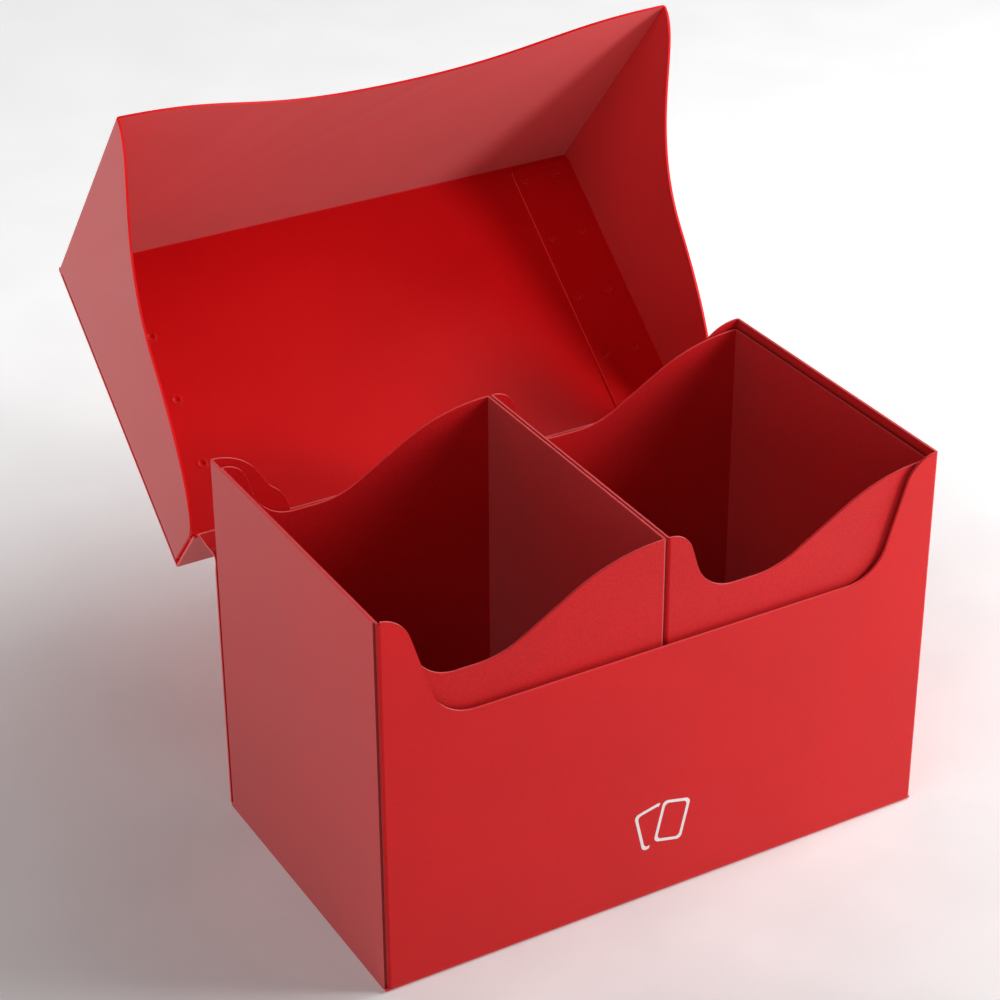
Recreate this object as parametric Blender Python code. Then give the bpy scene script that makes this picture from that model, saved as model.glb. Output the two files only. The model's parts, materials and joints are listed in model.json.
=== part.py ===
"""Card deck box: a folded plastic-sheet box with a flip-over lid and two card trays inside.

Every panel is a flat sheet cut to an outline. Panels that share a fold line are separate
objects with a small gap at the fold. The lid is drawn closed and is opened by two empties,
one on each of the two creases that it turns about.

Frame: metres, +Z up, +X to the right of someone facing the front, -Y towards them.
Origin: centre of the underside of the box.
"""
import math

import bpy

MM = 0.001

# Sheet
SHEET = 0.6 * MM             # thickness of every panel
GAP = 0.3 * MM               # space left at a fold or between two layers

# Body
BODY_WIDTH = 143.4 * MM
BODY_DEPTH = 81.0 * MM
BODY_HEIGHT = 96.0 * MM
FRONT_LOW = 67.5 * MM        # bottom of the wide cut-out in the front wall
FRONT_SEAM = 1.1 * MM        # the front wall stops this far short of the left side
GLUE_FLAP_WIDTH = 19.0 * MM
REAR_FLAP_WIDTH = 19.2 * MM
DUST_FLAP_WIDTH = 34.0 * MM

# Trays
TRAY_WIDTH = 69.3 * MM
TRAY_DEPTH = 77.4 * MM
TRAY_TOP = 93.9 * MM
TRAY_LOW = 77.4 * MM         # bottom of the finger scoop
TRAY_PLAY = 0.3 * MM         # clearance at the left, to the glue flap
TRAY_SPACING = 70.6 * MM     # from one tray to the next
TRAY_FRONT = 1.5 * MM        # from the front of the body to the tray

# Lid, drawn closed
LID_CLEARANCE = 0.4 * MM     # between a lid side flap and the body's side wall
LID_TOP = 97.8 * MM          # height of the lid's outer face when closed
LID_DEPTH = 82.4 * MM        # outer size from the rear fold to the front flap
LID_FLAP_CORNER = 72.8 * MM  # depth of the front flap at its corners
LID_FLAP_CENTRE = 61.5 * MM  # and in the middle of its wave
TAB_REACH = 18.2 * MM        # from the lid's side to the inner edge of a weld tab
TAB_END = 2.0 * MM           # from the lid's front and rear to the tab's ends
TAB_CORNER = 2.0 * MM

# Creases
LOWER_CREASE = 69.8 * MM     # height of the crease at the top of the back wall
HINGE_PANEL = 8.5 * MM       # from the lower crease to the upper one
LOWER_OPEN = math.radians(79.5)
UPPER_OPEN = math.radians(60.6)

# Derived
LEFT = -BODY_WIDTH / 2
RIGHT = BODY_WIDTH / 2
FRONT = -BODY_DEPTH / 2
BACK = BODY_DEPTH / 2
LAYER = SHEET + GAP
WALL_BASE = LAYER
UPPER_CREASE = LOWER_CREASE + HINGE_PANEL
TRAY_BASE = 2 * LAYER
LID_LEFT = LEFT - LID_CLEARANCE - SHEET
LID_RIGHT = RIGHT + LID_CLEARANCE + SHEET
LID_FRONT = BACK - LID_DEPTH
LOWER_AXIS = (0.0, BACK, LOWER_CREASE)
UPPER_AXIS = (0.0, BACK, UPPER_CREASE)
ARC_STEP = math.radians(9.0)

SHELL_RED = (0.62, 0.020, 0.024, 1.0)
LID_RED = (0.66, 0.022, 0.026, 1.0)
TRAY_RED = (0.50, 0.012, 0.018, 1.0)


# ---------------------------------------------------------------- scene and materials

def clear_scene():
    for obj in list(bpy.data.objects):
        bpy.data.objects.remove(obj, do_unlink=True)


def new_collection(name):
    collection = bpy.data.collections.new(name)
    bpy.context.scene.collection.children.link(collection)
    return collection


def sheet_material(name, colour, roughness):
    material = bpy.data.materials.new(name)
    material.use_nodes = True
    shader = material.node_tree.nodes["Principled BSDF"]
    shader.inputs["Base Color"].default_value = colour
    shader.inputs["Roughness"].default_value = roughness
    shader.inputs["Metallic"].default_value = 0.0
    return material


# ---------------------------------------------------------------- outlines

def rectangle(low_x, high_x, low_y, high_y):
    return [(low_x, low_y), (high_x, low_y), (high_x, high_y), (low_x, high_y)]


def arc(centre, radius, start, end):
    """Points round a centre, from one angle to another, both in radians."""
    count = max(2, math.ceil(abs(end - start) / ARC_STEP))
    angles = [start + (end - start) * i / count for i in range(count + 1)]
    return [(centre[0] + radius * math.cos(a), centre[1] + radius * math.sin(a)) for a in angles]


def bezier(start, handle_a, handle_b, end, count):
    """Points on a cubic curve, without its last point."""
    points = []
    for i in range(count):
        t = i / count
        s = 1.0 - t
        weights = (s ** 3, 3 * s * s * t, 3 * s * t * t, t ** 3)
        corners = (start, handle_a, handle_b, end)
        points.append(tuple(sum(w * c[k] for w, c in zip(weights, corners)) for k in (0, 1)))
    return points


def step_down(start_x, top, low, slope, top_radius, low_radius):
    """An S from one level down to another: round shoulder, straight slope, round foot."""
    drop = top - low
    round_drop = (top_radius + low_radius) * (1 - math.cos(slope))
    straight = (drop - round_drop) / math.sin(slope)
    round_run = (top_radius + low_radius) * math.sin(slope)
    end_x = start_x + round_run + straight * math.cos(slope)
    quarter = math.pi / 2
    shoulder = arc((start_x, top - top_radius), top_radius, quarter, quarter - slope)
    foot = arc((end_x, low + low_radius), low_radius, -quarter - slope, -quarter)
    return shoulder + foot


def mirror_x(points, about):
    """The same outline seen the other way round, in the opposite order."""
    return [(2 * about - x, y) for x, y in reversed(points)]


def shift_x(points, distance):
    return [(x + distance, y) for x, y in points]


# ---------------------------------------------------------------- sheets

TURNS = {
    "front": (math.pi / 2, 0.0, 0.0),            # outline x, y become world X, Z
    "side": (math.pi / 2, 0.0, math.pi / 2),     # outline x, y become world Y, Z
    "flat": (0.0, 0.0, 0.0),                     # outline x, y become world X, Y
}
NORMAL = {"front": 1, "side": 0, "flat": 2}


def add_sheet(name, facing, low_face, outline, material, parent=None):
    """A flat sheet: its outline in body coordinates, its lower-numbered face at low_face."""
    curve = bpy.data.curves.new(name, "CURVE")
    curve.dimensions = "2D"
    curve.fill_mode = "BOTH"
    curve.extrude = SHEET / 2
    spline = curve.splines.new("POLY")
    spline.points.add(len(outline) - 1)
    for point, (x, y) in zip(spline.points, outline):
        point.co = (x, y, 0.0, 1.0)
    spline.use_cyclic_u = True
    curve.materials.append(material)
    sheet = bpy.data.objects.new(name, curve)
    sheet.rotation_euler = TURNS[facing]
    sheet.location[NORMAL[facing]] = low_face + SHEET / 2
    PARTS.objects.link(sheet)
    if parent is not None:
        sheet.parent = parent
        closed_at = UPPER_AXIS if parent.name == "upper_crease" else LOWER_AXIS
        sheet.location = [here - axis for here, axis in zip(sheet.location, closed_at)]
    return sheet


def add_crease(name, location, opening, parent=None):
    """An empty on a crease. Turning it about -X opens what hangs on it."""
    crease = bpy.data.objects.new(name, None)
    crease.location = location
    crease.rotation_euler = (-opening, 0.0, 0.0)
    crease.parent = parent
    PARTS.objects.link(crease)
    return crease


# ---------------------------------------------------------------- body

def front_panel(material):
    """Front wall with a wide cut-out between two ears."""
    ear = step_down(LEFT + 0.4 * MM, BODY_HEIGHT, FRONT_LOW, math.radians(72.4), 8.1 * MM, 11.0 * MM)
    corners = [(LEFT + FRONT_SEAM, WALL_BASE), (RIGHT, WALL_BASE)]
    right_ear = [(RIGHT, BODY_HEIGHT)] + mirror_x(ear, 0.0)[::-1]
    left_start = LEFT + FRONT_SEAM
    left_ear = [point for point in reversed(ear) if point[0] > left_start]
    outline = corners + right_ear + left_ear + [(left_start, BODY_HEIGHT)]
    add_sheet("body_front_panel", "front", FRONT, outline, material)


def side_panels(material):
    rear = BACK - 2 * LAYER
    left = rectangle(FRONT, rear, WALL_BASE, BODY_HEIGHT)
    right = rectangle(FRONT + LAYER, rear, WALL_BASE, BODY_HEIGHT)
    add_sheet("body_left_panel", "side", LEFT, left, material)
    add_sheet("body_right_panel", "side", RIGHT - SHEET, right, material)


def back_panel(material):
    outline = rectangle(LEFT, RIGHT, WALL_BASE, LOWER_CREASE - GAP / 2)
    add_sheet("body_back_panel", "front", BACK - SHEET, outline, material)


def bottom_panel(material):
    outline = rectangle(LEFT, RIGHT, FRONT, BACK)
    add_sheet("body_bottom_panel", "flat", 0.0, outline, material)


def glue_flap(material):
    """Flap of the front wall, folded back inside the left wall."""
    taper = 3.0 * MM
    front = FRONT + LAYER
    rear = front + GLUE_FLAP_WIDTH
    top = BODY_HEIGHT - 0.5 * MM
    outline = [(front, WALL_BASE), (rear, WALL_BASE + taper), (rear, top - taper), (front, top)]
    add_sheet("body_front_glue_flap", "side", LEFT + LAYER, outline, material)


def rear_flap_outline():
    """Left rear flap: a large round ear and a small one beside it, down to a free edge."""
    top = BODY_HEIGHT
    ear_radius = 13.5 * MM
    ear_turn = math.radians(74.0)
    ear = arc((LEFT + 0.3 * MM, top - ear_radius), ear_radius, math.pi / 2, math.pi / 2 - ear_turn)
    notch = ear[-1]
    edge = LEFT + REAR_FLAP_WIDTH
    small = bezier((notch[0] + 1.0 * MM, notch[1] - 1.0 * MM), (edge - 2.2 * MM, notch[1] - 1.6 * MM),
                   (edge, notch[1] - 4.5 * MM), (edge, 76.0 * MM), 7)
    upper = [(LEFT, top)] + ear + small
    return upper + [(edge, WALL_BASE), (LEFT, WALL_BASE)]


def rear_flaps(material):
    """Flaps of the two side walls, welded to the inside of the back wall."""
    low_face = BACK - LAYER - SHEET
    left = rear_flap_outline()
    add_sheet("body_left_rear_flap", "front", low_face, left, material)
    add_sheet("body_right_rear_flap", "front", low_face, mirror_x(left, 0.0), material)


def dust_flaps(material):
    """Flaps of the side walls, folded in over the bottom panel."""
    start = LEFT + 2 * LAYER
    end = start + DUST_FLAP_WIDTH
    front = FRONT + LAYER + GAP
    back = BACK - 3 * LAYER
    cut = 8.0 * MM
    left = [(start, front), (end - cut, front), (end, front + cut), (end, back - cut),
            (end - cut, back), (start, back)]
    add_sheet("body_left_dust_flap", "flat", LAYER, left, material)
    right = shift_x(mirror_x(left, 0.0), LAYER)
    add_sheet("body_right_dust_flap", "flat", LAYER, right, material)


# ---------------------------------------------------------------- trays

def tray_wall_outline(left):
    """Front or back wall of a tray: a steep step at the left, a gentle rise at the right."""
    right = left + TRAY_WIDTH
    steep = step_down(left + 0.8 * MM, TRAY_TOP, TRAY_LOW, math.radians(73.0), 5.8 * MM, 10.3 * MM)
    gentle = step_down(0.2 * MM, TRAY_TOP, TRAY_LOW, math.radians(30.1), 46.0 * MM, 21.5 * MM)
    gentle = [(right - x, y) for x, y in gentle]
    upper = [(right, TRAY_TOP)] + gentle + steep[::-1] + [(left, TRAY_TOP)]
    return [(left, TRAY_BASE), (right, TRAY_BASE)] + upper


def tray(name, left, material):
    right = left + TRAY_WIDTH
    front = FRONT + TRAY_FRONT
    back = front + TRAY_DEPTH
    wall = tray_wall_outline(left)
    add_sheet(name + "_front_wall", "front", front, wall, material)
    add_sheet(name + "_back_wall", "front", back - SHEET, wall, material)
    side = rectangle(front + LAYER, back - LAYER, TRAY_BASE, TRAY_TOP)
    add_sheet(name + "_left_wall", "side", left, side, material)
    add_sheet(name + "_right_wall", "side", right - SHEET, side, material)
    floor = rectangle(left + LAYER, right - LAYER, front + LAYER, back - LAYER)
    add_sheet(name + "_floor", "flat", TRAY_BASE, floor, material)


# ---------------------------------------------------------------- hinge and lid

def hinge_panel(material, crease):
    outline = rectangle(LEFT, RIGHT, LOWER_CREASE + GAP / 2, UPPER_CREASE - GAP / 2)
    add_sheet("hinge_panel", "front", BACK - SHEET, outline, material, crease)


def lid_rear_strip(material, crease):
    outline = rectangle(LID_LEFT, LID_RIGHT, UPPER_CREASE + GAP / 2, LID_TOP - LAYER)
    add_sheet("lid_rear_strip", "front", BACK - SHEET, outline, material, crease)


def lid_top_panel(material, crease):
    outline = rectangle(LID_LEFT, LID_RIGHT, LID_FRONT, BACK)
    add_sheet("lid_top_panel", "flat", LID_TOP - SHEET, outline, material, crease)


def lid_front_flap(material, crease):
    """Front flap with a shallow wave along its lower edge."""
    corner = LID_TOP - LID_FLAP_CORNER
    centre = LID_TOP - LID_FLAP_CENTRE
    corner_handle = 31.0 * MM
    centre_handle = 38.5 * MM
    left_half = bezier((LID_LEFT, corner), (LID_LEFT + corner_handle, corner),
                       (-centre_handle, centre), (0.0, centre), 12)
    wave = left_half + [(0.0, centre)] + mirror_x(left_half, 0.0)
    top = LID_TOP - LAYER
    outline = wave + [(LID_RIGHT, top), (LID_LEFT, top)]
    add_sheet("lid_front_flap", "front", LID_FRONT, outline, material, crease)


def lid_side_outline():
    """Side flap in the plane (Y, Z): an S from a short rear edge to the full front depth."""
    def at(from_rear, depth):
        return (BACK - from_rear * MM, LID_TOP - depth * MM)

    front = LID_FRONT + LAYER
    start = at(1.0, 16.0)
    middle = at(38.6, 36.6)
    end = (front, LID_TOP - LID_FLAP_CORNER + 0.1 * MM)
    rear_half = bezier(start, at(2.0, 21.2), at(14.0, 30.0), middle, 14)
    front_half = bezier(middle, at(65.3, 43.9), at(71.5, 72.4), end, 16)
    top = LID_TOP - LAYER
    return rear_half + front_half + [end, (front, top), (start[0], top)]


def lid_side_flaps(material, crease):
    outline = lid_side_outline()
    add_sheet("lid_left_flap", "side", LID_LEFT, outline, material, crease)
    add_sheet("lid_right_flap", "side", LID_RIGHT - SHEET, outline, material, crease)


def lid_weld_tabs(material, crease):
    """Tabs of the side flaps, welded flat to the underside of the top panel."""
    outer = LID_LEFT + LAYER
    inner = LID_LEFT + TAB_REACH
    front = LID_FRONT + TAB_END
    rear = BACK - TAB_END
    radius = TAB_CORNER
    quarter = math.pi / 2
    front_corner = arc((inner - radius, front + radius), radius, -quarter, 0.0)
    rear_corner = arc((inner - radius, rear - radius), radius, 0.0, quarter)
    left = [(outer, front)] + front_corner + rear_corner + [(outer, rear)]
    low_face = LID_TOP - LAYER - SHEET
    add_sheet("lid_left_weld_tab", "flat", low_face, left, material, crease)
    add_sheet("lid_right_weld_tab", "flat", low_face, mirror_x(left, 0.0), material, crease)


# ---------------------------------------------------------------- build

clear_scene()
PARTS = new_collection("card_deck_box")

shell_red = sheet_material("shell_sheet", SHELL_RED, 0.42)
lid_red = sheet_material("lid_sheet", LID_RED, 0.40)
tray_red = sheet_material("tray_sheet", TRAY_RED, 0.55)

front_panel(shell_red)
side_panels(shell_red)
back_panel(shell_red)
bottom_panel(shell_red)
glue_flap(shell_red)
rear_flaps(shell_red)
dust_flaps(shell_red)

first_tray = LEFT + LAYER + SHEET + TRAY_PLAY
tray("tray_left", first_tray, tray_red)
tray("tray_right", first_tray + TRAY_SPACING, tray_red)

lower_crease = add_crease("lower_crease", LOWER_AXIS, LOWER_OPEN)
upper_crease = add_crease("upper_crease", (0.0, 0.0, HINGE_PANEL), UPPER_OPEN, lower_crease)
hinge_panel(lid_red, lower_crease)
lid_rear_strip(lid_red, upper_crease)
lid_top_panel(lid_red, upper_crease)
lid_front_flap(lid_red, upper_crease)
lid_side_flaps(lid_red, upper_crease)
lid_weld_tabs(lid_red, upper_crease)
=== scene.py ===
"""Looks of the card deck box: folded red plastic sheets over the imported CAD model.

Every sheet is drawn as the outer face of its flat panels and rounded folds, and is then given
its thickness inwards. The lid is drawn closed and turned open about its two creases.
Metres, +Z up, -Y towards the front, as in the CAD model.
"""
import json
import math

import bmesh
import bpy
from mathutils import Matrix, Vector


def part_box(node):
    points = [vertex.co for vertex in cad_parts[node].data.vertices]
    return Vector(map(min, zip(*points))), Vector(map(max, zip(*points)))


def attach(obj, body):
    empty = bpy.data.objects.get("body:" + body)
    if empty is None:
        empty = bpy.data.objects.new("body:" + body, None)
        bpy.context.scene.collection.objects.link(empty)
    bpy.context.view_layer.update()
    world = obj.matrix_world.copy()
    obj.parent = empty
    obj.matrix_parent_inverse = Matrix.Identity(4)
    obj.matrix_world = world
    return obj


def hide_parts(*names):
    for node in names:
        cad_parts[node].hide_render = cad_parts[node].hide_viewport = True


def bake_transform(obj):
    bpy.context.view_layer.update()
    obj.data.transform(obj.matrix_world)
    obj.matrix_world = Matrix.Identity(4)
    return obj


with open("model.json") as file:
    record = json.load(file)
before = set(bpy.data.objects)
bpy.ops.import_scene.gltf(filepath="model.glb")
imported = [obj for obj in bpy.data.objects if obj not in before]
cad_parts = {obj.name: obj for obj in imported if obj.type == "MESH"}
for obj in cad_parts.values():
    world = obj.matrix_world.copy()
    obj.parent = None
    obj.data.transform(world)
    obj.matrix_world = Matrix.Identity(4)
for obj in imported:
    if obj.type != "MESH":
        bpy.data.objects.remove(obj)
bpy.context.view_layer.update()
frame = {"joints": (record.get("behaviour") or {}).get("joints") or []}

MM = 0.001

# ---------------------------------------------------------------- sizes

# Sheet
SHEET = 0.6 * MM              # thickness
FOLD = 0.8 * MM               # outer radius of a fold
FOLD_STEPS = 6
EDGE_ROUND = 0.07 * MM        # softening of a cut edge
LAP = 0.05 * MM               # space left between two sheets that are welded together
ARC_STEP = math.radians(3.0)
CUT_ANGLE = math.radians(60)  # corners sharper than this belong to a cut edge
SMOOTH_ANGLE = math.radians(50)
LARGE_FACE_WEIGHT = 80
SAME_POINT = 0.001 * MM

# Shell, from the CAD model
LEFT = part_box("body_left_panel")[0].x
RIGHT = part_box("body_right_panel")[1].x
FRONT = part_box("body_front_panel")[0].y
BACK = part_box("body_back_panel")[1].y
BODY_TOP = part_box("body_left_panel")[1].z
GLUE_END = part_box("body_front_glue_flap")[1].y
GLUE_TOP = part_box("body_front_glue_flap")[1].z
REAR_FLAP_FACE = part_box("body_left_rear_flap")[1].y
REAR_FLAP_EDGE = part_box("body_left_rear_flap")[1].x
WALL_INSIDE = LEFT + SHEET + LAP
GLUE_FACE = WALL_INSIDE
GLUE_TAPER = 3.0 * MM
DUST_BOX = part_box("body_left_dust_flap")
DUST_FACE = DUST_BOX[0].z
DUST_CUT = 8.0 * MM           # chamfer of a dust flap's corners
FRONT_LOW = 67.5 * MM         # bottom of the wide cut-out in the front wall
# Side of a cut-out: distance from the wall's side, slope, radius of the shoulder and of the foot
FRONT_EAR = (0.4 * MM, math.radians(72.4), 8.1 * MM, 11.0 * MM)
LEFT_WALL_SETBACK = 0.8 * MM  # from the front wall's face to the left wall's cut edge
REAR_EAR_START = 0.3 * MM
REAR_EAR_RADIUS = 13.5 * MM
REAR_EAR_TURN = math.radians(62.0)
# Rear flap below its large ear: handles and ends of its curves, from the side and from the base in mm
REAR_VALLEY = [(13.06, 87.25), (14.24, 85.42), (15.2, 84.7)]
SMALL_EAR_HANDLE = (16.8, 83.5)
SMALL_EAR_HEIGHTS = (81.0 * MM, 76.0 * MM)
REAR_CURVE_STEPS = (10, 14)

# Trays
TRAY_LOW = 77.4 * MM          # bottom of the finger scoop in the front wall
TRAY_LOW_REAR = 77.9 * MM
TRAY_STEEP = (0.8 * MM, math.radians(73.0), 5.8 * MM, 10.3 * MM)
TRAY_GENTLE = (0.2 * MM, math.radians(30.1), 46.0 * MM, 21.5 * MM)
# How far to the right each tray's left and right wall bow, from their places in the CAD model
TRAY_BOW = {"tray_left": (0.0, 0.45 * MM), "tray_right": (-0.45 * MM, 0.3 * MM)}

# Lid, drawn closed
LID_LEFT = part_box("lid_top_panel")[0].x
LID_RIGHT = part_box("lid_top_panel")[1].x
LID_TOP = 97.8 * MM
LID_FRONT = BACK - 82.4 * MM
FLAP_CORNER = LID_TOP - 72.8 * MM
FLAP_CENTRE = LID_TOP - 61.5 * MM
WAVE_HANDLES = (31.0 * MM, 38.5 * MM)   # of the front flap's edge, at its corner and at its middle
WAVE_STEPS = 32
# Edge of a side flap: ends and handles of its two curves, from the rear and from the top in mm
SIDE_REAR_CURVE = [(1.9, 16.0), (2.0, 21.2), (14.0, 30.0), (38.6, 36.6)]
SIDE_FRONT_HANDLES = [(65.3, 43.9), (71.5, 72.4)]
SIDE_CURVE_STEPS = (24, 36)
TAB_EDGE = LID_LEFT + 18.2 * MM
TAB_END = 2.0 * MM
TAB_CORNER = 1.35 * MM
DIMPLE_ROWS = [BACK - distance * MM for distance in (76.4, 58.7, 41.0, 23.4, 5.8)]
DIMPLE_COLUMNS = [-66.8 * MM, -57.4 * MM]
DIMPLE_CELL = 1.45 * MM       # half the side of the square that a dimple is drawn in
# Radius and depth in mm, from the rim to the middle
DIMPLE_PROFILE = [(1.38, 0.0), (1.2, -0.09), (1.02, -0.03), (0.88, 0.13), (0.62, 0.28), (0.3, 0.32)]
DIMPLE_POINTS = 16

# Creases, from the joints
JOINTS = {joint["name"]: joint for joint in frame["joints"]}
LOWER_CREASE = Vector(JOINTS["lower_crease"]["pos_m"])
LOWER_OPEN = math.radians(-JOINTS["lower_crease"]["range_deg"][0])
UPPER_OPEN = math.radians(-JOINTS["upper_crease"]["range_deg"][0])
HINGE_WIDTH = (Vector(JOINTS["upper_crease"]["pos_m"]) - LOWER_CREASE).length
UPPER_CREASE = LOWER_CREASE + Vector((0.0, 0.0, HINGE_WIDTH))
LOWER_REACH = 3.6 * MM        # the bend takes up this much on each side of the crease
UPPER_REACH = 0.9 * MM
WEB_ROWS = 18
SHARE_HALVINGS = 40
LOWER_SCORE = 0.06 * MM       # depth of the groove pressed along a crease
UPPER_SCORE = 0.20 * MM
SCORE_HALF = 0.35 * MM

# Printed mark on the front wall
MARK_CENTRE = (-0.2 * MM, 19.6 * MM)
MARK_CARD = (7.6 * MM, 11.0 * MM)
MARK_LINE = 0.75 * MM
MARK_CORNER = 1.3 * MM
MARK_TILT = math.radians(13.0)
MARK_SPREAD = 2.7 * MM
MARK_GAP = 0.7 * MM
MARK_PROUD = 0.02 * MM
MARK_STEP = 0.4 * MM

# ---------------------------------------------------------------- colours and lights

SHELL_RED = (0.66, 0.004, 0.006)
LID_RED = (0.70, 0.002, 0.004)
TRAY_RED = (0.62, 0.002, 0.005)
# Cut-edge reds: lighter than the sheet reds as a painted highlight along the cut edges, and also the colour
# of their painted glow
EDGE_RED_PAINTED_HIGHLIGHT = (0.72, 0.022, 0.028)
LID_EDGE_RED_PAINTED_HIGHLIGHT = (0.80, 0.006, 0.008)
# Painted shadow: dark red for the left wall's front cut edge, which lies in shade deep in the corner
CORNER_EDGE_PAINTED_SHADOW_RED = (0.24, 0.001, 0.002)
PRINT_WHITE = (0.86, 0.86, 0.86)
FLOOR_WHITE = (0.92, 0.92, 0.92)

CAMERA_PLACE = (-0.27825, -0.45429, 0.38931)
CAMERA_RIGHT = (0.86723, -0.49788, -0.00492)
CAMERA_UP = (0.25110, 0.42879, 0.86781)
CAMERA_BACK = (-0.42995, -0.75382, 0.49688)
CAMERA_LENS = 97.22
SENSOR = 36.0

# Whitish bloom of a matte surface, seen straight on and at a low angle
HAZE = (0.03, 0.60)
SHELL_HAZE = (0.03, 0.42)
NO_HAZE = (0.0, 0.0)
HAZE_ANGLES = (0.15, 0.75)
HAZE_ROUGHNESS = 0.5
SPECULAR = 0.15
CLOUD_SCALE, CLOUD_DETAIL = 28.0, 3.0
CLOUD_RANGE = (0.3, 0.7)
CLOUD_DARK, CLOUD_LIGHT = 0.95, 1.04
GRAIN_SCALE, GRAIN_DETAIL = 2600.0, 2.0
GRAIN_RANGE = (0.35, 0.65)
GRAIN_DEPTH = 0.02 * MM
GLOSS_SPREAD = 0.03
# Colour, roughness, strength of the pressed grain, strength of the speckle, and haze
PLASTICS = {
    "shell_sheet_red": (SHELL_RED, 0.45, 0.25, 0.04, SHELL_HAZE),
    "lid_sheet_red": (LID_RED, 0.45, 0.2, 0.03, HAZE),
    "tray_sheet_red": (TRAY_RED, 0.5, 0.5, 0.10, HAZE),
    "shell_cut_edge_painted_light": (EDGE_RED_PAINTED_HIGHLIGHT, 0.45, 0.1, 0.03, HAZE),
    "lid_cut_edge_painted_light": (LID_EDGE_RED_PAINTED_HIGHLIGHT, 0.45, 0.1, 0.03, HAZE),
    "shell_corner_edge_painted_shadow": (CORNER_EDGE_PAINTED_SHADOW_RED, 0.45, 0.1, 0.03, HAZE),
    "print_white": (PRINT_WHITE, 0.5, 0.1, 0.02, HAZE),
    "floor_white": (FLOOR_WHITE, 0.8, 0.05, 0.01, NO_HAZE),
}
PAINTED_EDGE_GLOW = 0.10              # painted glow: emission that brightens the cut edges, also where they lie in shade
SKY_HORIZON, SKY_OVERHEAD = 0.80, 0.05
SKY_FADE = (0.0, 0.45)        # heights between which the one turns into the other
FLOOR_GLOW = (0.07, 0.55)     # close to the box, and further off
FLOOR_FADE = (0.09, 0.32)     # distances between which the one turns into the other
FLOOR_HALF = 6.0
FLOOR_DROP = 0.1 * MM
LIGHT_TARGET = (0.0, 0.03, 0.09)
# Name, place, side of the square lamp and power in watts
LIGHTS = [
    ("near_right", (0.28, -0.22, 0.20), 0.08, 0.50),
    ("key", (0.36, -0.30, 0.34), 0.10, 0.33),
    ("high_left", (-0.60, -0.30, 0.80), 0.50, 1.2),
    ("low_back", (-0.55, 0.80, 0.20), 0.40, 1.3),
    ("high_right", (0.70, -0.10, 0.60), 0.40, 4.1),
]

QUARTER = math.pi / 2
OUT = {
    "left": Vector((-1, 0, 0)),
    "right": Vector((1, 0, 0)),
    "front": Vector((0, -1, 0)),
    "back": Vector((0, 1, 0)),
    "bottom": Vector((0, 0, -1)),
    "top": Vector((0, 0, 1)),
}
ACROSS = {"left": 0, "right": 0, "front": 1, "back": 1, "bottom": 2, "top": 2}


# ---------------------------------------------------------------- outlines

def arc(centre, radius, start, end):
    """Points round a centre, from one angle to another, both in radians."""
    count = max(2, math.ceil(abs(end - start) / ARC_STEP))
    angles = [start + (end - start) * i / count for i in range(count + 1)]
    return [(centre[0] + radius * math.cos(a), centre[1] + radius * math.sin(a)) for a in angles]


def bezier(start, handle_a, handle_b, end, count):
    """Points on a cubic curve, with both its ends."""
    points = []
    for i in range(count + 1):
        t = i / count
        s = 1.0 - t
        weights = (s ** 3, 3 * s * s * t, 3 * s * t * t, t ** 3)
        corners = (start, handle_a, handle_b, end)
        points.append(tuple(sum(w * c[k] for w, c in zip(weights, corners)) for k in (0, 1)))
    return points


def step_down(start_x, top, low, slope, top_radius, low_radius):
    """An S from one level down to another: round shoulder, straight slope, round foot."""
    drop = top - low
    straight = (drop - (top_radius + low_radius) * (1 - math.cos(slope))) / math.sin(slope)
    end_x = start_x + (top_radius + low_radius) * math.sin(slope) + straight * math.cos(slope)
    shoulder = arc((start_x, top - top_radius), top_radius, QUARTER, QUARTER - slope)
    foot = arc((end_x, low + low_radius), low_radius, -QUARTER - slope, -QUARTER)
    return shoulder + foot


def mirrored(points):
    """The same outline on the other side of the middle."""
    return [(-x, y) for x, y in points]


def between(points, low_x, high_x):
    """The points of an outline that lie well inside a range of x."""
    return [point for point in points if low_x + SAME_POINT < point[0] < high_x - SAME_POINT]


def placed(facing, face_at, outline):
    """An outline's points on the plane that a panel's outer face lies in."""
    points = []
    for pair in outline:
        point = list(pair)
        point.insert(ACROSS[facing], face_at)
        points.append(Vector(point))
    return points


# ---------------------------------------------------------------- folded sheets

class Sheet:
    """The outer face of one folded sheet, built from flat panels and rounded folds."""

    def __init__(self):
        self.mesh = bmesh.new()

    def face(self, points, outward):
        face = self.mesh.faces.new([self.mesh.verts.new(point) for point in points])
        face.normal_update()
        if face.normal.dot(outward) < 0:
            face.normal_flip()

    def panel(self, facing, face_at, outline):
        self.face(placed(facing, face_at, outline), OUT[facing])

    def fold(self, facing, face_at, start, end, towards):
        """A quarter-round strip from a panel's edge to the panel that faces the other way."""
        edge = placed(facing, face_at, [start, end])
        near, far = OUT[facing], OUT[towards]
        rows = []
        for i in range(FOLD_STEPS + 1):
            angle = QUARTER * i / FOLD_STEPS
            shift = FOLD * (near * (math.cos(angle) - 1) + far * math.sin(angle))
            rows.append([point + shift for point in edge])
        for one, two in zip(rows, rows[1:]):
            self.face([one[0], one[1], two[1], two[0]], near + far)


def add_object(name, mesh, materials):
    """An object with its own mesh. The bmesh that it is made from is used up."""
    data = bpy.data.meshes.new(name)
    mesh.to_mesh(data)
    mesh.free()
    for material in materials:
        data.materials.append(material)
    piece = bpy.data.objects.new(name, data)
    bpy.context.scene.collection.objects.link(piece)
    return piece


def apply_modifiers(piece):
    bpy.context.view_layer.update()
    evaluated = piece.evaluated_get(bpy.context.evaluated_depsgraph_get())
    data = bpy.data.meshes.new_from_object(evaluated)
    old = piece.data
    piece.modifiers.clear()
    piece.data = data
    bpy.data.meshes.remove(old)
    data.name = piece.name


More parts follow.
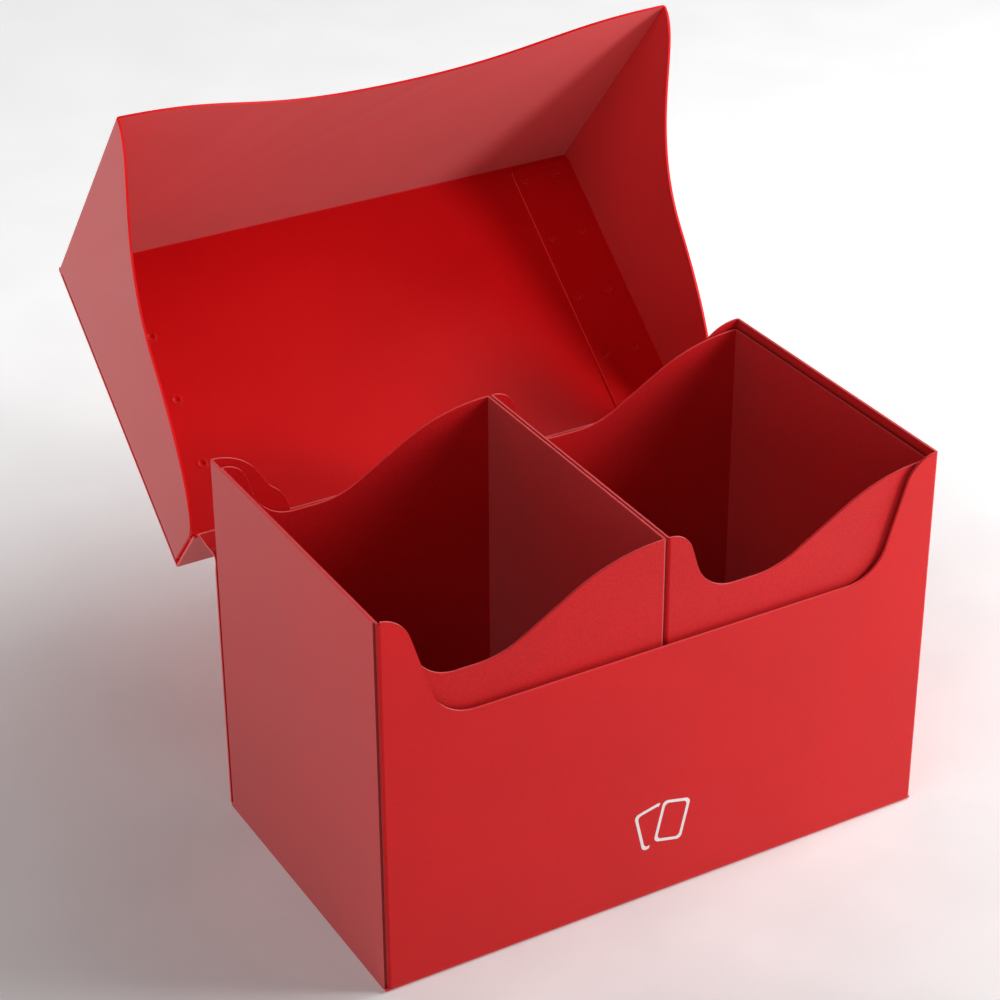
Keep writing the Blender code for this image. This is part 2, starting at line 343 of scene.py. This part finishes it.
def soften_cut_edges(piece, joined_at):
    """Rounds the corners of the cut edges, except where the sheet runs on in another piece."""
    mesh = bmesh.new()
    mesh.from_mesh(piece.data)
    sharp = []
    for edge in mesh.edges:
        runs_on = any(all(abs(vert.co.z - z) < SAME_POINT for vert in edge.verts) for z in joined_at)
        if len(edge.link_faces) == 2 and edge.calc_face_angle() > CUT_ANGLE and not runs_on:
            sharp.append(edge)
    bmesh.ops.bevel(mesh, geom=sharp, offset=EDGE_ROUND, offset_type="OFFSET", segments=2,
                    profile=0.5, affect="EDGES", clamp_overlap=True, material=-1)
    mesh.to_mesh(piece.data)
    mesh.free()


def shade(piece):
    """Smooth folds beside flat panels: each corner takes the direction of its largest face."""
    piece.data.shade_smooth()
    piece.data.set_sharp_from_angle(angle=SMOOTH_ANGLE)
    weighted = piece.modifiers.new("shading", "WEIGHTED_NORMAL")
    weighted.weight = LARGE_FACE_WEIGHT
    weighted.keep_sharp = True
    apply_modifiers(piece)


def sheet_object(name, sheet, materials, joined_at=()):
    """The finished sheet. The materials are for its outer face, its inner face and its cut edges."""
    bmesh.ops.remove_doubles(sheet.mesh, verts=sheet.mesh.verts, dist=SAME_POINT)
    piece = add_object(name, sheet.mesh, materials)
    thickness = piece.modifiers.new("thickness", "SOLIDIFY")
    thickness.thickness = SHEET
    thickness.offset = -1.0
    thickness.use_even_offset = True
    thickness.use_quality_normals = True
    thickness.material_offset = 1
    thickness.material_offset_rim = 2
    apply_modifiers(piece)
    soften_cut_edges(piece, joined_at)
    shade(piece)
    return piece


# ---------------------------------------------------------------- shell

def front_wall_outline():
    """Front wall with its wide cut-out, inside its folds, anticlockwise from the lower right."""
    low_x = GLUE_FACE + FOLD
    high_x = RIGHT - FOLD
    start, *step = FRONT_EAR
    ear = step_down(LEFT + start, BODY_TOP, FRONT_LOW, *step)
    right_ear = between(mirrored(ear), low_x, high_x)
    left_ear = between(ear, low_x, high_x)[::-1]
    right_side = [(high_x, FOLD), (high_x, BODY_TOP)]
    left_side = [(low_x, BODY_TOP), (low_x, GLUE_TOP), (low_x, DUST_FACE + FOLD), (low_x, FOLD)]
    return right_side + right_ear + left_ear + left_side


def rear_flap_outline():
    """Left rear flap: a large round ear, a small one beside it, and a free edge."""
    radius = REAR_EAR_RADIUS
    fold_x = LEFT + FOLD
    edge = REAR_FLAP_EDGE

    def at(from_side, height):
        return (LEFT + from_side * MM, height * MM)

    centre = (LEFT + REAR_EAR_START, BODY_TOP - radius)
    ear = arc(centre, radius, QUARTER, QUARTER - REAR_EAR_TURN)
    near, far, saddle = [at(*pair) for pair in REAR_VALLEY]
    high, low = SMALL_EAR_HEIGHTS
    valley_steps, ear_steps = REAR_CURVE_STEPS
    valley = bezier(ear[-1], near, far, saddle, valley_steps)[1:-1]
    small = valley + bezier(saddle, at(*SMALL_EAR_HANDLE), (edge, high), (edge, low), ear_steps)
    upper = [(fold_x, BODY_TOP)] + between(ear, fold_x, edge) + small
    return upper + [(edge, FOLD), (fold_x, FOLD)]


def dust_flap_outline():
    """Left dust flap, seen from above, from beside the left wall to its free edge."""
    low, high = DUST_BOX
    cut = DUST_CUT
    return [(WALL_INSIDE, low.y), (high.x - cut, low.y), (high.x, low.y + cut), (high.x, high.y - cut),
            (high.x - cut, high.y), (WALL_INSIDE, high.y)]


def add_side(sheet, side, wall_start):
    """A side wall with its rear flap and its dust flap. Drawn at the left, mirrored at the right."""
    wall = LEFT if side == "left" else RIGHT
    turn = list if side == "left" else mirrored
    rear_y = REAR_FLAP_FACE - FOLD
    foot_y = BACK - SHEET - LAP
    sheet.panel(side, wall, [(wall_start, FOLD), (wall_start, LAP), (foot_y, LAP), (foot_y, FOLD),
                             (rear_y, FOLD), (rear_y, BODY_TOP), (wall_start, BODY_TOP)])
    sheet.fold(side, wall, (rear_y, FOLD), (rear_y, BODY_TOP), "back")
    sheet.panel("back", REAR_FLAP_FACE, turn(rear_flap_outline()))
    sheet.panel("bottom", DUST_FACE, turn(dust_flap_outline()))


def add_glue_flap(sheet):
    """Flap of the front wall, folded back inside the left wall."""
    start = FRONT + FOLD
    low = DUST_FACE + FOLD
    fold_x = GLUE_FACE + FOLD
    sheet.fold("front", FRONT, (fold_x, FOLD), (fold_x, low), "left")
    sheet.fold("front", FRONT, (fold_x, low), (fold_x, GLUE_TOP), "left")
    sheet.panel("left", GLUE_FACE, [(start, low), (GLUE_END, low + GLUE_TAPER),
                                    (GLUE_END, GLUE_TOP - GLUE_TAPER), (start, GLUE_TOP)])


def add_bottom_and_back(sheet, wall_top):
    """The bottom, folded from the front wall, and the back wall folded up from it."""
    front_y = FRONT + FOLD
    back_y = BACK - FOLD
    low_x = GLUE_FACE + FOLD
    high_x = RIGHT - FOLD
    inner = -WALL_INSIDE
    stops = [LEFT, WALL_INSIDE, low_x, high_x, inner, RIGHT]
    for start, end in zip(stops, stops[1:]):
        sheet.fold("front", FRONT, (start, FOLD), (end, FOLD), "bottom")
    front_edge = [(x, front_y) for x in stops[1:-1]]
    sheet.panel("bottom", 0.0, front_edge + [(inner, back_y), (WALL_INSIDE, back_y)])
    sheet.fold("bottom", 0.0, (WALL_INSIDE, back_y), (inner, back_y), "back")
    sheet.panel("back", BACK, [(LEFT, FOLD), (WALL_INSIDE, FOLD), (inner, FOLD), (RIGHT, FOLD),
                               (RIGHT, wall_top), (LEFT, wall_top)])


def paint_corner_edge_shadow(piece, material):
    """Paints shadow on the side wall's front cut edge, deep in the corner: a darker red for the shade that
    falls there.
    """
    piece.data.materials.append(material)
    for face in piece.data.polygons:
        if face.normal.y < -0.5 and face.center.y < 0.0:
            face.material_index = len(piece.data.materials) - 1


def build_shell(materials, corner_edge_shadow):
    wall_top = LOWER_CREASE.z - LOWER_REACH
    wrap = Sheet()
    wrap.panel("front", FRONT, front_wall_outline())
    add_glue_flap(wrap)
    wrap.fold("front", FRONT, (RIGHT - FOLD, FOLD), (RIGHT - FOLD, BODY_TOP), "right")
    add_side(wrap, "right", FRONT + FOLD)
    add_bottom_and_back(wrap, wall_top)
    piece = sheet_object("shell_wrap_sheet", wrap, materials, joined_at=[wall_top])
    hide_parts("body_front_panel", "body_right_panel", "body_back_panel", "body_bottom_panel",
                "body_front_glue_flap", "body_right_rear_flap", "body_right_dust_flap")
    left = Sheet()
    add_side(left, "left", FRONT + LEFT_WALL_SETBACK)
    left_piece = sheet_object("shell_left_sheet", left, materials)
    # Painted shadow: the left wall's front cut edge gets a darker red
    paint_corner_edge_shadow(left_piece, corner_edge_shadow)
    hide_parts("body_left_panel", "body_left_rear_flap", "body_left_dust_flap")
    for part in (piece, left_piece):
        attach(part, "shell")


# ---------------------------------------------------------------- trays

def tray_wall_outline(low, high, wall_low, scoop_low):
    """Front or back wall of a tray: a steep step at the left, a gentle rise at the right."""
    left_x, right_x, top = low.x + FOLD, high.x - FOLD, high.z
    start, *step = TRAY_STEEP
    steep = step_down(low.x + start, top, scoop_low, *step)
    start, *step = TRAY_GENTLE
    gentle = step_down(start, top, scoop_low, *step)
    gentle = [(high.x - x, y) for x, y in gentle]
    upper = between(gentle, left_x, right_x) + between(steep, left_x, right_x)[::-1]
    return [(left_x, wall_low), (right_x, wall_low), (right_x, top)] + upper + [(left_x, top)]


def build_tray(body, materials):
    """Four walls folded into a ring, and a floor folded from the front wall between the others."""
    left_bow, right_bow = TRAY_BOW[body]
    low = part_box(body + "_front_wall")[0] + Vector((left_bow, 0.0, 0.0))
    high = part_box(body + "_back_wall")[1] + Vector((right_bow, 0.0, 0.0))
    front_y, back_y = low.y + FOLD, high.y - FOLD
    left_x, right_x = low.x + FOLD, high.x - FOLD
    floor_fold = low.z + FOLD
    floor_end = high.y - SHEET - LAP
    sheet = Sheet()
    sheet.panel("front", low.y, tray_wall_outline(low, high, floor_fold, TRAY_LOW))
    sheet.panel("back", high.y, tray_wall_outline(low, high, low.z, TRAY_LOW_REAR))
    side = [(front_y, floor_fold), (front_y + LAP, low.z), (back_y, low.z), (back_y, high.z),
            (front_y, high.z)]
    sheet.panel("left", low.x, side)
    sheet.panel("right", high.x, side)
    for x, towards in ((left_x, "left"), (right_x, "right")):
        sheet.fold("front", low.y, (x, floor_fold), (x, high.z), towards)
        sheet.fold("back", high.y, (x, low.z), (x, high.z), towards)
    sheet.fold("front", low.y, (left_x, floor_fold), (right_x, floor_fold), "bottom")
    sheet.panel("bottom", low.z, [(left_x, front_y), (right_x, front_y), (right_x, floor_end),
                                  (left_x, floor_end)])
    piece = sheet_object(body + "_sheet", sheet, materials)
    names = ["_front_wall", "_back_wall", "_left_wall", "_right_wall", "_floor"]
    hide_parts(*[body + name for name in names])
    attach(piece, body)


# ---------------------------------------------------------------- creases

def smooth_step(t):
    t = min(1.0, max(0.0, t))
    return t * t * (3 - 2 * t)


def opening(crease, angle):
    """The turn that opens what lies beyond a crease."""
    return Matrix.Translation(crease) @ Matrix.Rotation(-angle, 4, "X") @ Matrix.Translation(-crease)


def bent_point(point, crease, angle, start, end):
    """Where a point of a crease lies when open: it turns by its own share of the angle.
    """
    low, high = 0.0, 1.0
    run = end - start
    for _ in range(SHARE_HALVINGS):
        share = (low + high) / 2
        place = opening(crease, share * angle) @ point
        if smooth_step((place - start).dot(run) / run.length_squared) > share:
            low = share
        else:
            high = share
    return place


def crease_web(name, crease, reach, score, materials):
    """The strip of sheet at a crease, flat: a plain outer face, and a groove along the inner one."""
    mesh = bmesh.new()
    rows = []
    for i in range(WEB_ROWS + 1):
        offset = reach * (2 * i / WEB_ROWS - 1)
        depth = score * max(0.0, 1 - (offset / SCORE_HALF) ** 2)
        z = crease.z + offset
        inner_y = BACK - SHEET + depth
        rows.append([mesh.verts.new((x, y, z)) for x, y in
                     ((LEFT, BACK), (RIGHT, BACK), (RIGHT, inner_y), (LEFT, inner_y))])
    for one, two in zip(rows, rows[1:]):
        for side in range(4):
            after = (side + 1) % 4
            face = mesh.faces.new([one[side], one[after], two[after], two[side]])
            face.material_index = (0, 2, 1, 2)[side]
    mesh.faces.new(rows[0])
    mesh.faces.new(rows[-1])
    bmesh.ops.recalc_face_normals(mesh, faces=mesh.faces)
    web = add_object(name, mesh, materials)
    web.data.shade_smooth()
    web.data.set_sharp_from_angle(angle=SMOOTH_ANGLE)
    return web


def bend_web(piece, crease, angle, reach, carried):
    """Bends a flat web open and carries it to its place at rest."""
    half = Vector((0.0, 0.0, reach))
    start = crease - half
    end = opening(crease, angle) @ (crease + half)
    for vert in piece.data.vertices:
        vert.co = carried @ bent_point(vert.co.copy(), crease, angle, start, end)
    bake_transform(piece)


def build_hinge(materials):
    """The hinge panel between the two creases, and the two creases themselves."""
    open_hinge = opening(LOWER_CREASE, LOWER_OPEN)
    low = LOWER_CREASE.z + LOWER_REACH
    high = UPPER_CREASE.z - UPPER_REACH
    sheet = Sheet()
    sheet.panel("back", BACK, [(LEFT, low), (RIGHT, low), (RIGHT, high), (LEFT, high)])
    panel = sheet_object("hinge_sheet", sheet, materials, joined_at=[low, high])
    panel.data.transform(open_hinge)
    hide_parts("hinge_panel")
    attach(panel, "hinge")
    lower = crease_web("lower_crease_web", LOWER_CREASE, LOWER_REACH, LOWER_SCORE, materials)
    bend_web(lower, LOWER_CREASE, LOWER_OPEN, LOWER_REACH, Matrix.Identity(4))
    upper = crease_web("upper_crease_web", UPPER_CREASE, UPPER_REACH, UPPER_SCORE, materials)
    bend_web(upper, UPPER_CREASE, UPPER_OPEN, UPPER_REACH, open_hinge)


# ---------------------------------------------------------------- lid

def lid_front_outline():
    """Front flap inside its folds, with a shallow wave along its lower edge."""
    corner_handle, centre_handle = WAVE_HANDLES
    low_x, high_x = LID_LEFT + FOLD, LID_RIGHT - FOLD
    left_half = bezier((LID_LEFT, FLAP_CORNER), (LID_LEFT + corner_handle, FLAP_CORNER),
                       (-centre_handle, FLAP_CENTRE), (0.0, FLAP_CENTRE), WAVE_STEPS)
    wave = left_half + mirrored(left_half[:-1])[::-1]
    top = LID_TOP - FOLD
    start = [(low_x, FLAP_CORNER)]
    end = [(high_x, FLAP_CORNER), (high_x, top), (low_x, top)]
    return start + between(wave, low_x, high_x) + end


def lid_side_outline(tab_fold):
    """Side flap: an S from a short rear edge to the front fold, with a notch at each end of the tab."""
    def at(from_rear, depth):
        return (BACK - from_rear * MM, LID_TOP - depth * MM)

    front = LID_FRONT + FOLD
    rear_steps, front_steps = SIDE_CURVE_STEPS
    rear_curve = [at(*pair) for pair in SIDE_REAR_CURVE]
    start, middle = rear_curve[0], rear_curve[-1]
    front_handles = [at(*pair) for pair in SIDE_FRONT_HANDLES]
    rear_half = bezier(*rear_curve, rear_steps)
    front_half = bezier(middle, *front_handles, (front, FLAP_CORNER), front_steps)
    top = LID_TOP - FOLD
    tab_front, tab_rear = LID_FRONT + TAB_END, BACK - TAB_END
    notched = [(front, top), (tab_front, top), (tab_front, tab_fold), (tab_rear, tab_fold)]
    return rear_half[:-1] + front_half + notched + [(tab_rear, top), (start[0], top)]


def dimple(sheet, centre, face_at, turn):
    """A round weld mark in a square of the tab. Returns the points on the square's four sides."""
    angles = [2 * math.pi * i / DIMPLE_POINTS for i in range(DIMPLE_POINTS)]
    rings = []
    for radius, depth in DIMPLE_PROFILE:
        reach = radius * MM
        ring = [(centre[0] + reach * math.cos(a), centre[1] + reach * math.sin(a)) for a in angles]
        rings.append(placed("top", face_at + depth * MM, turn(ring)))
    square = square_points(centre)
    outer = placed("top", face_at, turn(square))
    rings.insert(0, outer)
    for one, two in zip(rings, rings[1:]):
        for i in range(DIMPLE_POINTS):
            after = (i + 1) % DIMPLE_POINTS
            sheet.face([one[i], one[after], two[after], two[i]], OUT["top"])
    sheet.face(rings[-1], OUT["top"])


def square_points(centre):
    """As many points round a square as a dimple has, in the same directions from its centre."""
    points = []
    for i in range(DIMPLE_POINTS):
        angle = 2 * math.pi * i / DIMPLE_POINTS
        x, y = math.cos(angle), math.sin(angle)
        reach = DIMPLE_CELL / max(abs(x), abs(y))
        points.append((centre[0] + reach * x, centre[1] + reach * y))
    return points


def add_tab(sheet, side, face_at):
    """Weld tab with two columns of dimples, in strips between and beside the columns."""
    turn = list if side == "left" else mirrored
    fold_x = LID_LEFT + FOLD
    front, rear = LID_FRONT + TAB_END, BACK - TAB_END
    inner = TAB_EDGE
    radius = TAB_CORNER
    cell = DIMPLE_CELL
    rows = sorted(DIMPLE_ROWS)
    for x in DIMPLE_COLUMNS:
        for y in rows:
            dimple(sheet, (x, y), face_at, turn)
        ends = [front] + [value for y in rows for value in (y - cell, y + cell)] + [rear]
        for low, high in zip(ends[::2], ends[1::2]):
            below = [p for y in rows if abs(y + cell - low) < SAME_POINT
                     for p in side_points((x, y), "far")]
            above = [p for y in rows if abs(y - cell - high) < SAME_POINT
                     for p in side_points((x, y), "near")]
            outline = ([(x - cell, low)] + below + [(x + cell, low), (x + cell, high)]
                       + above + [(x - cell, high)])
            sheet.panel("top", face_at, turn(outline))
    first, second = DIMPLE_COLUMNS
    front_arc = arc((inner - radius, front + radius), radius, -QUARTER, 0.0)
    rear_arc = arc((inner - radius, rear - radius), radius, 0.0, QUARTER)
    strips = [
        [(fold_x, front), (first - cell, front)] + column_side(first, rows, "left")
        + [(first - cell, rear), (fold_x, rear)],
        [(first + cell, front), (second - cell, front)] + column_side(second, rows, "left")
        + [(second - cell, rear), (first + cell, rear)] + column_side(first, rows, "right")[::-1],
        [(second + cell, front)] + front_arc + rear_arc + [(second + cell, rear)]
        + column_side(second, rows, "right")[::-1],
    ]
    for strip in strips:
        sheet.panel("top", face_at, turn(strip))


def side_points(centre, which):
    """Points on one side of a dimple's square, from low x to high x."""
    sign = 1 if which == "far" else -1
    on_side = [p for p in square_points(centre)
               if abs(p[1] - centre[1] - sign * DIMPLE_CELL) < SAME_POINT
               and abs(p[0] - centre[0]) < DIMPLE_CELL - SAME_POINT]
    return sorted(on_side, reverse=which == "near")


def column_side(x, rows, which):
    """Points up one side of a column of dimple squares, with the squares' corners."""
    sign = 1 if which == "right" else -1
    edge = x + sign * DIMPLE_CELL
    points = []
    for y in rows:
        points.append((edge, y - DIMPLE_CELL))
        on_side = [p for p in square_points((x, y))
                   if abs(p[0] - edge) < SAME_POINT and abs(p[1] - y) < DIMPLE_CELL - SAME_POINT]
        points += sorted(on_side, key=lambda p: p[1])
        points.append((edge, y + DIMPLE_CELL))
    return points


def build_lid(materials):
    strip_low = UPPER_CREASE.z + UPPER_REACH
    top_edge = LID_TOP - FOLD
    tab_face = LID_TOP - SHEET - LAP
    tab_fold = tab_face - FOLD
    tab_front, tab_rear = LID_FRONT + TAB_END, BACK - TAB_END
    front_y, back_y = LID_FRONT + FOLD, BACK - FOLD
    low_x, high_x = LID_LEFT + FOLD, LID_RIGHT - FOLD
    sheet = Sheet()
    sheet.panel("back", BACK, [(LID_LEFT, strip_low), (LID_RIGHT, strip_low), (LID_RIGHT, top_edge),
                               (LID_LEFT, top_edge)])
    sheet.fold("back", BACK, (LID_LEFT, top_edge), (LID_RIGHT, top_edge), "top")
    sheet.panel("top", LID_TOP, [(LID_LEFT, front_y), (low_x, front_y), (high_x, front_y),
                                 (LID_RIGHT, front_y), (LID_RIGHT, back_y), (LID_LEFT, back_y)])
    for start, end in ((LID_LEFT, low_x), (low_x, high_x), (high_x, LID_RIGHT)):
        sheet.fold("front", LID_FRONT, (start, top_edge), (end, top_edge), "top")
    sheet.panel("front", LID_FRONT, lid_front_outline())
    for side, face_at, x, turn in (("left", LID_LEFT, low_x, list), ("right", LID_RIGHT, high_x, mirrored)):
        sheet.fold("front", LID_FRONT, (x, FLAP_CORNER), (x, top_edge), side)
        sheet.panel(side, face_at, lid_side_outline(tab_fold))
        sheet.fold(side, face_at, (tab_front, tab_fold), (tab_rear, tab_fold), "top")
        add_tab(sheet, side, tab_face)
    piece = sheet_object("lid_folded_sheet", sheet, materials, joined_at=[strip_low])
    piece.data.transform(opening(LOWER_CREASE, LOWER_OPEN) @ opening(UPPER_CREASE, UPPER_OPEN))
    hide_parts("lid_rear_strip", "lid_top_panel", "lid_front_flap", "lid_left_flap",
                "lid_right_flap", "lid_left_weld_tab", "lid_right_weld_tab")
    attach(piece, "lid")


# ---------------------------------------------------------------- printed mark

def rounded_card(width, height, radius):
    """Outline of a playing card round the origin."""
    points = []
    for i, (sx, sy) in enumerate(((1, 1), (-1, 1), (-1, -1), (1, -1))):
        centre = (sx * (width / 2 - radius), sy * (height / 2 - radius))
        points += arc(centre, radius, QUARTER * i, QUARTER * (i + 1))
    return points


def spun(points, angle, shift_x):
    return [(x * math.cos(angle) - y * math.sin(angle) + shift_x, x * math.sin(angle) + y * math.cos(angle))
            for x, y in points]


def inside_card(point, angle, shift_x, grow):
    """Whether a point lies within a tilted card that is a little larger than drawn."""
    x, y = spun([(point[0] - shift_x, point[1])], -angle, 0.0)[0]
    return abs(x) < MARK_CARD[0] / 2 + grow and abs(y) < MARK_CARD[1] / 2 + grow


def printed_strip(mesh, outer, inner, closed):
    """A thin band of ink between two lines of points, standing just proud of the wall."""
    rows = []
    for a, b in zip(outer, inner):
        corners = []
        for (x, z), y in ((a, FRONT - MARK_PROUD), (b, FRONT - MARK_PROUD), (b, FRONT + MARK_PROUD),
                          (a, FRONT + MARK_PROUD)):
            corners.append(mesh.verts.new((x + MARK_CENTRE[0], y, z + MARK_CENTRE[1])))
        rows.append(corners)
    pairs = list(zip(rows, rows[1:]))
    if closed:
        pairs.append((rows[-1], rows[0]))
    else:
        mesh.faces.new(rows[0])
        mesh.faces.new(rows[-1])
    for one, two in pairs:
        for side in range(4):
            after = (side + 1) % 4
            mesh.faces.new([one[side], one[after], two[after], two[side]])


def subdivided(points, step):
    """A closed outline with extra points along its long sides."""
    result = []
    for a, b in zip(points, points[1:] + points[:1]):
        length = math.dist(a, b)
        count = max(1, round(length / step))
        result += [(a[0] + (b[0] - a[0]) * i / count, a[1] + (b[1] - a[1]) * i / count) for i in range(count)]
    return result


def build_mark(material):
    """Two fanned cards in outline: the front one whole, the rear one where it shows."""
    width, height = MARK_CARD
    inset = 2 * MARK_LINE
    outer = subdivided(rounded_card(width, height, MARK_CORNER), MARK_STEP)
    scale_x, scale_y = (width - inset) / width, (height - inset) / height
    inner = [(x * scale_x, y * scale_y) for x, y in outer]
    mesh = bmesh.new()
    printed_strip(mesh, spun(outer, -MARK_TILT, MARK_SPREAD), spun(inner, -MARK_TILT, MARK_SPREAD), True)
    rear = list(zip(spun(outer, MARK_TILT, -MARK_SPREAD), spun(inner, MARK_TILT, -MARK_SPREAD)))
    hidden = [any(inside_card(p, -MARK_TILT, MARK_SPREAD, MARK_GAP) for p in pair) for pair in rear]
    start = next(i for i in range(len(rear)) if hidden[i - 1] and not hidden[i])
    turned = rear[start:] + rear[:start]
    hidden = hidden[start:] + hidden[:start]
    shown = turned[:hidden.index(True)]
    printed_strip(mesh, [a for a, _ in shown], [b for _, b in shown], False)
    bmesh.ops.recalc_face_normals(mesh, faces=mesh.faces)
    mark = add_object("printed_cards_mark", mesh, [material])
    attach(mark, "shell")


# ---------------------------------------------------------------- materials

def add_noise(tree, scale, detail):
    coordinates = tree.nodes.new("ShaderNodeTexCoord")
    noise = tree.nodes.new("ShaderNodeTexNoise")
    noise.inputs["Scale"].default_value = scale
    noise.inputs["Detail"].default_value = detail
    tree.links.new(coordinates.outputs["Object"], noise.inputs["Vector"])
    return noise


def ranged(tree, source, low, high, to_low, to_high, smooth=False):
    """A number from one range spread over another."""
    node = tree.nodes.new("ShaderNodeMapRange")
    node.interpolation_type = "SMOOTHSTEP" if smooth else "LINEAR"
    values = {"From Min": low, "From Max": high, "To Min": to_low, "To Max": to_high}
    for name, value in values.items():
        node.inputs[name].default_value = value
    tree.links.new(source, node.inputs["Value"])
    return node.outputs["Result"]


def faded(tree, distances, values):
    """A number that changes with the distance from the object's origin."""
    coordinates = tree.nodes.new("ShaderNodeTexCoord")
    length = tree.nodes.new("ShaderNodeVectorMath")
    length.operation = "LENGTH"
    tree.links.new(coordinates.outputs["Object"], length.inputs[0])
    return ranged(tree, length.outputs["Value"], *distances, *values, smooth=True)


def scaled(colour, factor):
    return tuple(channel * factor for channel in colour) + (1.0,)


def mixed(tree, share, low_colour, high_colour):
    node = tree.nodes.new("ShaderNodeMix")
    node.data_type = "RGBA"
    node.inputs["A"].default_value = low_colour
    node.inputs["B"].default_value = high_colour
    tree.links.new(share, node.inputs["Factor"])
    return node.outputs["Result"]


def plastic(name):
    """Plastic sheet: cloudy colour, fine speckle, uneven gloss, a pressed grain and haze at low angles."""
    colour, roughness, grain, speckle, haze = PLASTICS[name]
    material = bpy.data.materials.new(name)
    material.use_nodes = True
    tree = material.node_tree
    shader = tree.nodes["Principled BSDF"]
    shader.inputs["Specular IOR Level"].default_value = SPECULAR
    shader.inputs["Sheen Roughness"].default_value = HAZE_ROUGHNESS
    angle = tree.nodes.new("ShaderNodeLayerWeight")
    tree.links.new(ranged(tree, angle.outputs["Facing"], *HAZE_ANGLES, *haze), shader.inputs["Sheen Weight"])
    cloud = add_noise(tree, CLOUD_SCALE, CLOUD_DETAIL)
    fine = add_noise(tree, GRAIN_SCALE, GRAIN_DETAIL)
    cloud_share = ranged(tree, cloud.outputs["Fac"], *CLOUD_RANGE, 0.0, 1.0)
    clouded = mixed(tree, cloud_share, scaled(colour, CLOUD_DARK), scaled(colour, CLOUD_LIGHT))
    dots = ranged(tree, fine.outputs["Fac"], *GRAIN_RANGE, 1.0 - speckle, 1.0 + speckle)
    speckled = tree.nodes.new("ShaderNodeVectorMath")
    speckled.operation = "SCALE"
    tree.links.new(clouded, speckled.inputs["Vector"])
    tree.links.new(dots, speckled.inputs["Scale"])
    tree.links.new(speckled.outputs["Vector"], shader.inputs["Base Color"])
    smoothest, roughest = roughness - GLOSS_SPREAD, roughness + GLOSS_SPREAD
    gloss = ranged(tree, cloud.outputs["Fac"], *CLOUD_RANGE, smoothest, roughest)
    tree.links.new(gloss, shader.inputs["Roughness"])
    bump = tree.nodes.new("ShaderNodeBump")
    bump.inputs["Strength"].default_value = grain
    bump.inputs["Distance"].default_value = GRAIN_DEPTH
    tree.links.new(fine.outputs["Fac"], bump.inputs["Height"])
    tree.links.new(bump.outputs["Normal"], shader.inputs["Normal"])
    return material


def painted_glow_plastic(name):
    """Plastic at a cut edge, with a painted glow: a faint emission of its own colour that brightens the edge.
    """
    material = plastic(name)
    colour = PLASTICS[name][0]
    shader = material.node_tree.nodes["Principled BSDF"]
    shader.inputs["Emission Color"].default_value = scaled(colour, 1.0)
    shader.inputs["Emission Strength"].default_value = PAINTED_EDGE_GLOW
    return material


# ---------------------------------------------------------------- floor, lights and camera

def build_floor():
    mesh = bmesh.new()
    bmesh.ops.create_grid(mesh, x_segments=2, y_segments=2, size=FLOOR_HALF)
    white = plastic("floor_white")
    shader = white.node_tree.nodes["Principled BSDF"]
    shader.inputs["Emission Color"].default_value = scaled(FLOOR_WHITE, 1.0)
    glow = faded(white.node_tree, FLOOR_FADE, FLOOR_GLOW)
    white.node_tree.links.new(glow, shader.inputs["Emission Strength"])
    floor = add_object("studio_floor", mesh, [white])
    floor.location.z = -FLOOR_DROP


def add_lamp(name, place, size, power):
    light = bpy.data.lights.new(name, "AREA")
    light.shape = "SQUARE"
    light.size = size
    light.energy = power
    lamp = bpy.data.objects.new(name, light)
    lamp.location = place
    lamp.visible_camera = False
    lamp.rotation_euler = (Vector(LIGHT_TARGET) - Vector(place)).to_track_quat("-Z", "Y").to_euler()
    bpy.context.scene.collection.objects.link(lamp)


def build_lights():
    world = bpy.data.worlds.new("studio")
    world.use_nodes = True
    background = world.node_tree.nodes["Background"]
    background.inputs["Color"].default_value = (1.0, 1.0, 1.0, 1.0)
    sky = world.node_tree
    direction = sky.nodes.new("ShaderNodeTexCoord")
    parts = sky.nodes.new("ShaderNodeSeparateXYZ")
    sky.links.new(direction.outputs["Generated"], parts.inputs["Vector"])
    strength = ranged(sky, parts.outputs["Z"], *SKY_FADE, SKY_HORIZON, SKY_OVERHEAD, smooth=True)
    sky.links.new(strength, background.inputs["Strength"])
    bpy.context.scene.world = world
    for name, place, size, power in LIGHTS:
        add_lamp(name, place, size, power)
    bpy.context.scene.view_settings.view_transform = "Standard"


def build_camera():
    data = bpy.data.cameras.new("camera")
    data.lens = CAMERA_LENS
    data.sensor_width = SENSOR
    camera = bpy.data.objects.new("camera", data)
    columns = Matrix((CAMERA_RIGHT, CAMERA_UP, CAMERA_BACK)).transposed()
    camera.matrix_world = Matrix.Translation(CAMERA_PLACE) @ columns.to_4x4()
    bpy.context.scene.collection.objects.link(camera)
    bpy.context.scene.camera = camera


# ---------------------------------------------------------------- build


shell_red = plastic("shell_sheet_red")
lid_red = plastic("lid_sheet_red")
tray_red = plastic("tray_sheet_red")
# Cut-edge materials: lighter red as a painted highlight, with a painted glow
shell_edge_painted_light = painted_glow_plastic("shell_cut_edge_painted_light")
lid_edge_painted_light = painted_glow_plastic("lid_cut_edge_painted_light")

build_shell([shell_red, shell_red, shell_edge_painted_light], plastic("shell_corner_edge_painted_shadow"))
build_tray("tray_left", [tray_red, tray_red, shell_edge_painted_light])
build_tray("tray_right", [tray_red, tray_red, shell_edge_painted_light])
build_hinge([lid_red, lid_red, lid_edge_painted_light])
build_lid([lid_red, lid_red, lid_edge_painted_light])
build_mark(plastic("print_white"))
build_floor()
build_lights()
build_camera()
